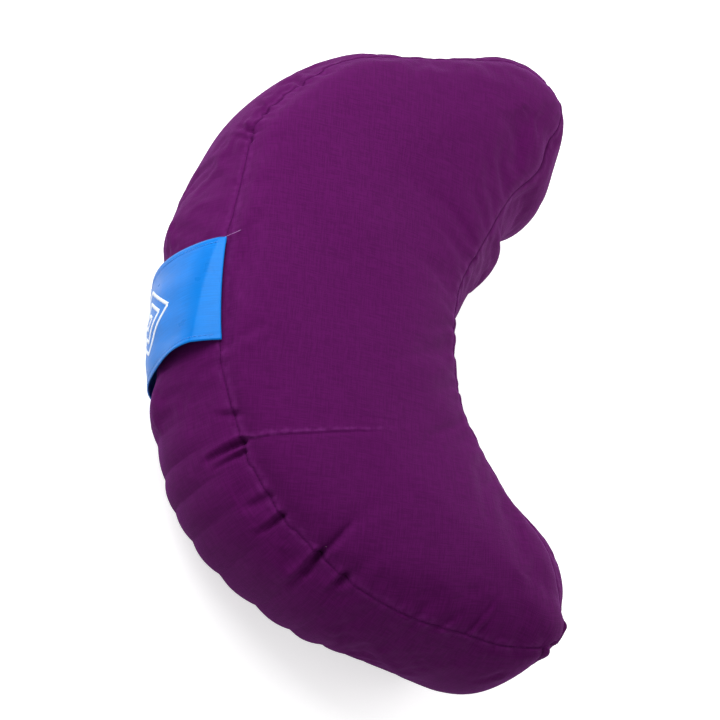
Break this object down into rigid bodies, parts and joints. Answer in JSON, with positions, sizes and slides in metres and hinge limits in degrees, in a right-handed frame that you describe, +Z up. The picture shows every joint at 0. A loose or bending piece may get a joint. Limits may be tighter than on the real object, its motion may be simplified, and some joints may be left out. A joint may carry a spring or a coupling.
{
  "type": "crescent support cushion",
  "caption": "Crescent-shaped firm support cushion, with a zipped fabric cover, a liner holding loose husks, and a carry strap over its curved back.",
  "frame": {"origin": "on the surface it rests on, under the middle of its bounding box", "axes": "+X along the crescent's length, -Y towards the bulging back with the carry strap, +Y towards the hollow side, +Z up"},
  "size_m": [0.4502, 0.274, 0.125],
  "materials": {
    "cover_cotton": "matte",
    "liner_cotton": "matte",
    "husks": "matte",
    "strap_satin": "satin",
    "motif_thread": "satin",
    "zip_tape": "matte",
    "zip_nylon": "satin",
    "zip_metal": "satin",
    "sewing_thread": "satin"
  },
  "bodies": {
    "cushion": {"cover_top_panel": "cover_cotton", "cover_bottom_panel": "cover_cotton", "cover_back_wall": "cover_cotton", "cover_hollow_wall": "cover_cotton", "liner_top": "liner_cotton", "liner_bottom": "liner_cotton", "liner_side": "liner_cotton", "hull_fill": "husks", "carry_strap": "strap_satin", "strap_motif": "motif_thread", "zip_tape_upper": "zip_tape", "zip_tape_lower": "zip_tape", "zip_coil_upper": "zip_nylon", "zip_coil_lower": "zip_nylon", "zip_top_stops": "zip_metal", "zip_bottom_stop": "zip_metal", "seam_thread_top": "sewing_thread", "seam_thread_bottom": "sewing_thread", "seam_thread_horns": "sewing_thread"},
    "slider": {"zip_slider": "zip_metal"},
    "pull": {"zip_pull": "zip_metal"}
  },
  "joints": [
    {"name": "zip_travel", "type": "hinge", "parent": "cushion", "child": "slider", "pos_m": [0, 0.22, 0.0206], "axis": [0, 0, -1], "range_deg": [0, 74.6]},
    {"name": "pull_swing", "type": "hinge", "parent": "slider", "child": "pull", "pos_m": [0.10006, 0.08888, 0.02056], "axis": [0.3033, -0.3975, -0.866], "range_deg": [0, 160]}
  ]
}
